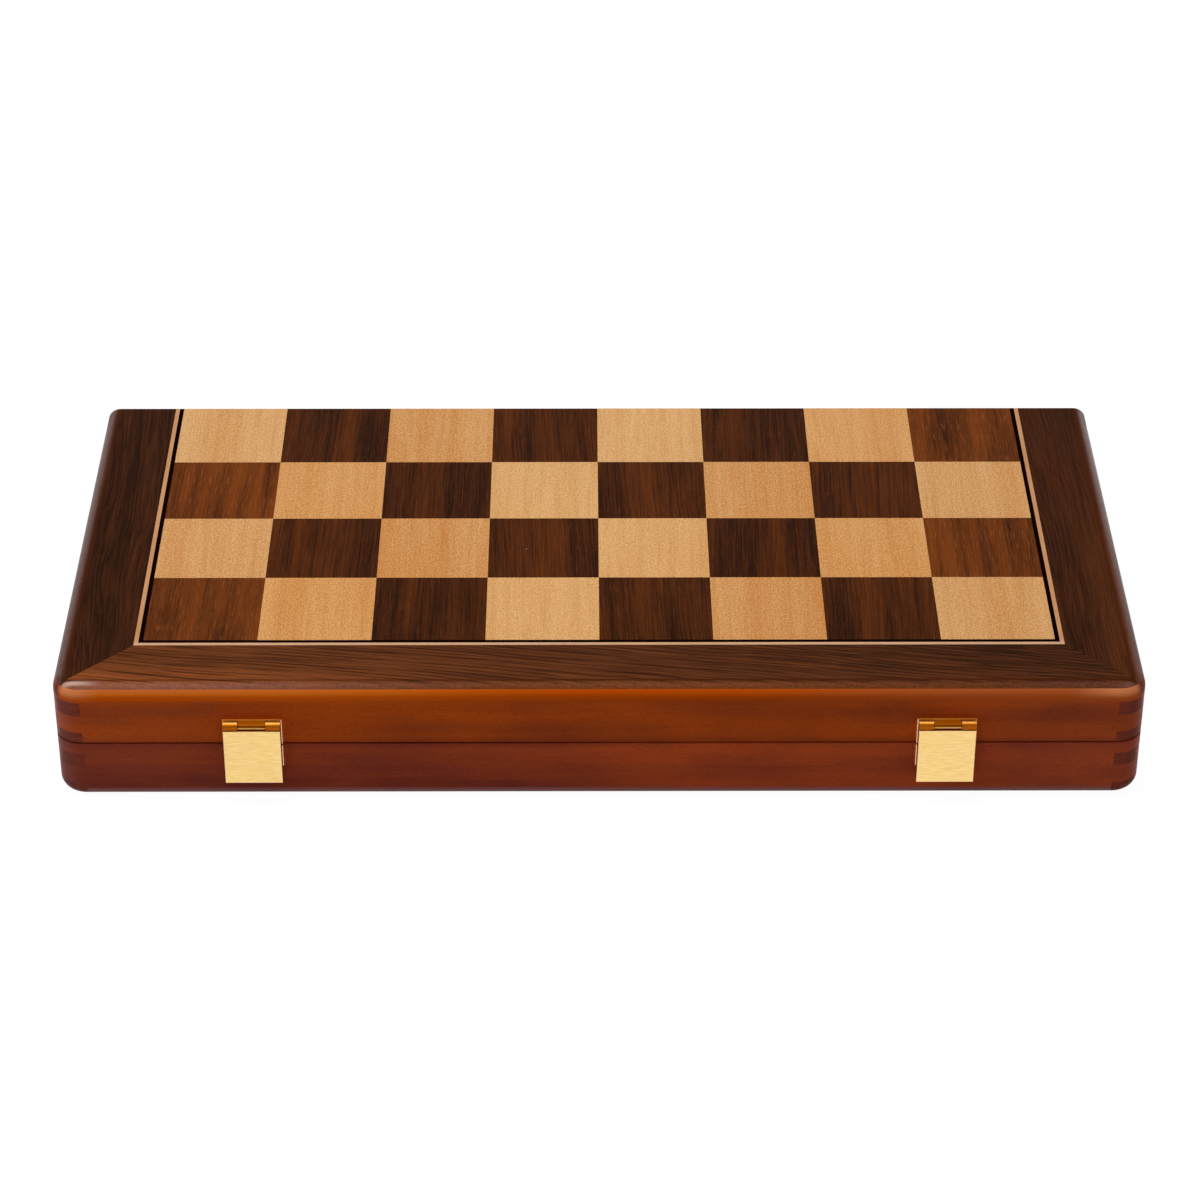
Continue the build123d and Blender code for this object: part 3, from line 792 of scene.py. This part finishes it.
def polishedBrass(name, low, high, roughness):
    material, tree, shader, place = newMaterial(name)
    look = brassFinish
    x, y, z = split(tree, place)[:3]
    cloud = grain(tree, place, (7, 7, 7), 3.0, 0.6)
    fine = grain(tree, place, (0.35, 0.35, 0.35), 3.0, 0.6)
    colour = blendColour(tree, ease(tree, cloud, 0.3, 0.7), low, high)
    colour = blendColour(tree, calc(tree, "MULTIPLY", fine, 0.3), colour, look["tarnish"])
    # painted highlights along the clasp plate's top and its tab's, fading towards the tab's front, and
    # painted light on the strip of plate face that shows over the barrel, where it lies in shade
    head, face = look["plateHead"], look["plateFront"]
    overBarrel = calc(tree, "MULTIPLY", ease(tree, z, head - 0.7, head - 0.4),
                      calc(tree, "GREATER_THAN", y, face - 0.1))
    onTop = calc(tree, "MAXIMUM", ease(tree, z, head - 0.12, head - 0.03), overBarrel)
    onTop = calc(tree, "MULTIPLY", onTop, calc(tree, "LESS_THAN", y, -99.0))
    top = blendColour(tree, ease(tree, y, face + 0.1, face - 0.1), look["plateTopHighlight"], look["tabTopHighlight"])
    top = blendColour(tree, ease(tree, y, face - 1.0, face - 2.2), top, look["tabFallShade"])
    colour = blendColour(tree, onTop, colour, top)
    # the tab is rolled over the pin, and its cut end carries a painted highlight
    away = calc(tree, "ABSOLUTE", calc(tree, "SUBTRACT", z, look["tabFoot"]))
    tabEndHighlight = calc(tree, "MULTIPLY", ease(tree, away, 0.15, 0.36, 1.0, 0.0),
                  calc(tree, "LESS_THAN", y, look["tabFront"]))
    colour = blendColour(tree, tabEndHighlight, colour, look["tabEndHighlight"])
    # each clasp plate's edge towards the middle of the box is rolled back a little, and carries a pale
    # painted highlight
    edge = look["plateEdge"]
    inner = calc(tree, "LESS_THAN", calc(tree, "ABSOLUTE", x), look["claspPlace"])
    inner = calc(tree, "MULTIPLY", inner, calc(tree, "LESS_THAN", y, 0.0))
    beside = besideClasp(tree, x)
    side = calc(tree, "MULTIPLY", ease(tree, beside, edge - 0.32, edge - 0.22), inner)
    colour = blendColour(tree, side, colour, look["sideEdgeSheen"])
    rolled = calc(tree, "MAXIMUM", calc(tree, "SUBTRACT", beside, edge - 0.32), 0.0)
    rolled = calc(tree, "MULTIPLY", calc(tree, "MULTIPLY", rolled, inner), -0.5)
    feed(tree, colour, shader, "Base Color")
    setShader(shader, metallic=1.0)
    rough = calc(tree, "MULTIPLY_ADD", cloud, 0.16, roughness - 0.08)
    feed(tree, calc(tree, "MULTIPLY_ADD", fine, 0.08, rough), shader, "Roughness")
    addBump(tree, shader, calc(tree, "MULTIPLY_ADD", fine, 0.01, rolled), 0.001)
    return material


def flapBrass():
    material, tree, shader, place = newMaterial("brushed flap brass")
    look = brassFinish
    x, y, z = split(tree, place)[:3]
    strokes = useGroup(tree, brushing, vector=place, strokeLength=5.0, strokeWidth=0.32)
    knuckle = ease(tree, z, look["flapTop"] - 0.04, look["flapTop"] + 0.04)
    fromSide = calc(tree, "SUBTRACT", look["flapEdge"], besideClasp(tree, x))
    fromFoot = calc(tree, "SUBTRACT", z, look["flapFoot"])
    # a pale painted highlight, with more roughness, along the flap's side and bottom edges
    rim = ease(tree, calc(tree, "MINIMUM", fromSide, fromFoot), 0.1, 0.5, 1.0, 0.0)
    rim = calc(tree, "MULTIPLY", rim, calc(tree, "SUBTRACT", 1.0, knuckle))
    scratch = stretch(tree, strokes["Strokes"], 3.0)
    colour = blendColour(tree, scratch, look["bright"], look["brushed"])
    colour = blendColour(tree, ease(tree, strokes["Cloud"], 0.35, 0.7, 0.0, 0.5), colour, look["cloud"])
    # painted light on the knuckles: lit towards the top with a painted highlight along the very top, and
    # painted shade low down
    barrel = blendColour(tree, ease(tree, z, 33.0, 35.6), look["knuckleShadedLow"], look["knuckleLitTop"])
    barrel = blendColour(tree, ease(tree, z, 35.5, 35.76), barrel, look["knuckleHighlight"])
    colour = blendColour(tree, knuckle, colour, barrel)
    colour = blendColour(tree, rim, colour, look["rim"])
    feed(tree, colour, shader, "Base Color")
    setShader(shader, metallic=1.0)
    rough = calc(tree, "MULTIPLY_ADD", scratch, 0.12, look["brushRoughness"] - 0.06)
    rough = calc(tree, "MULTIPLY_ADD", rim, 0.15, rough)
    feed(tree, calc(tree, "MULTIPLY_ADD", knuckle, 0.24, rough), shader, "Roughness")
    flat = calc(tree, "SUBTRACT", 1.0, knuckle)
    addBump(tree, shader, calc(tree, "MULTIPLY", strokes["Strokes"], flat), 0.00002)
    return material


polish = brassFinish["polishRoughness"]
hingeBrass = polishedBrass("hinge brass", brassFinish["gold"], tint(236, 182, 92), polish)
screwBrass = polishedBrass("screw brass", tint(196, 134, 48), tint(232, 184, 104), polish)
claspBrass = polishedBrass("clasp plate brass", brassFinish["plate"], brassFinish["platePale"],
                           brassFinish["dullRoughness"])
for side in ("left", "right"):
    for part in ("base_leaf", "lid_leaf", "pin"):
        dress(hingeBrass, side + "_hinge_" + part)
    for part in ("plate", "pin", "catch", "keeper"):
        dress(claspBrass, side + "_clasp_" + part)
dress(flapBrass(), "left_clasp_flap", "right_clasp_flap")
for half in ("base", "lid"):
    dress(screwBrass, half + "_hinge_screws", half + "_clasp_nails")
print("brass finished")


# floor, light and camera

studio = {
    "floorSize": 16.0, "floorColour": 0.5, "floorShadow": 0.06,
    "skyLow": 1.0, "skyHigh": 0.2, "fill": 0.22,
    "lampPower": 31.0, "lampSize": 1.3, "lampPlace": (-0.35, 0.1, 1.9),
}


def onlyShown(tree):
    # 1 for rays that see the background: from the camera, or mirrored or refracted once
    path = tree.nodes.new("ShaderNodeLightPath").outputs
    seen = calc(tree, "MAXIMUM", path["Is Camera Ray"], path["Is Glossy Ray"])
    return calc(tree, "MAXIMUM", seen, path["Is Transmission Ray"])


def layFloor():
    size = studio["floorSize"] / 2
    mesh = bpy.data.meshes.new("table_top")
    corners = [(-size, -size, 0), (size, -size, 0), (size, size, 0), (-size, size, 0)]
    mesh.from_pydata(corners, [], [(0, 1, 2, 3)])
    floor = bpy.data.objects.new("table_top", mesh)
    bpy.context.scene.collection.objects.link(floor)
    material = bpy.data.materials.new("white paper")
    material.use_nodes = True
    tree = material.node_tree
    tree.nodes.clear()
    paper = put(tree, "ShaderNodeBsdfDiffuse", {"Color": (*[studio["floorColour"]] * 3, 1)})
    faint = put(tree, "ShaderNodeBsdfDiffuse", {"Color": (*[studio["floorShadow"]] * 3, 1)})
    glow = put(tree, "ShaderNodeEmission", {"Strength": 1.03 - studio["floorShadow"]})
    white = put(tree, "ShaderNodeAddShader", {0: faint.outputs[0], 1: glow.outputs[0]})
    both = put(tree, "ShaderNodeMixShader", {0: onlyShown(tree), 1: paper.outputs[0], 2: white.outputs[0]})
    put(tree, "ShaderNodeOutputMaterial", {0: both.outputs[0]})
    mesh.materials.append(material)


def lightStudio():
    world = bpy.data.worlds.new("studio")
    bpy.context.scene.world = world
    world.use_nodes = True
    tree = world.node_tree
    tree.nodes.clear()
    way = tree.nodes.new("ShaderNodeTexCoord").outputs["Generated"]
    up = split(tree, way)[2]
    backdrop = ease(tree, up, 0.15, 0.36, studio["skyLow"], studio["skyHigh"])
    strength = put(tree, "ShaderNodeMix", {0: onlyShown(tree), 2: studio["fill"], 3: backdrop}).outputs[0]
    sky = put(tree, "ShaderNodeBackground", {"Color": (1, 1, 1, 1), "Strength": strength})
    put(tree, "ShaderNodeOutputWorld", {0: sky.outputs[0]})
    lamp = bpy.data.lights.new("softbox", "AREA")
    lamp.shape = "SQUARE"
    lamp.size = studio["lampSize"]
    lamp.energy = studio["lampPower"]
    holder = bpy.data.objects.new("softbox", lamp)
    holder.location = studio["lampPlace"]
    toBox = Vector((0, 0, 0.02)) - holder.location
    holder.rotation_euler = toBox.to_track_quat("-Z", "Y").to_euler()
    bpy.context.scene.collection.objects.link(holder)


eye = {
    "place": (-0.0073, -1.1730, 0.7965),
    "pitch": 33.46, "yaw": 0.389, "roll": -0.145,
    "focus": 3619.0, "picture": 1200.0, "sensor": 36.0,
}


def setCamera():
    pitch, yaw, roll = (math.radians(eye[k]) for k in ("pitch", "yaw", "roll"))
    ahead = Vector((math.sin(yaw) * math.cos(pitch), math.cos(yaw) * math.cos(pitch), -math.sin(pitch)))
    level = Vector((math.cos(yaw), -math.sin(yaw), 0))
    down = ahead.cross(level)
    right = math.cos(roll) * level + math.sin(roll) * down
    up = math.sin(roll) * level - math.cos(roll) * down
    data = bpy.data.cameras.new("view of the photograph")
    data.sensor_width = eye["sensor"]
    data.lens = eye["focus"] * eye["sensor"] / eye["picture"]
    data.clip_start = 0.01
    data.clip_end = 100
    camera = bpy.data.objects.new("view of the photograph", data)
    turn = Matrix((right, up, -ahead)).transposed().to_4x4()
    camera.matrix_world = Matrix.Translation(Vector(eye["place"])) @ turn
    bpy.context.scene.collection.objects.link(camera)
    bpy.context.scene.camera = camera


layFloor()
lightStudio()
setCamera()
bpy.context.scene.view_settings.view_transform = "Standard"
print("studio set")
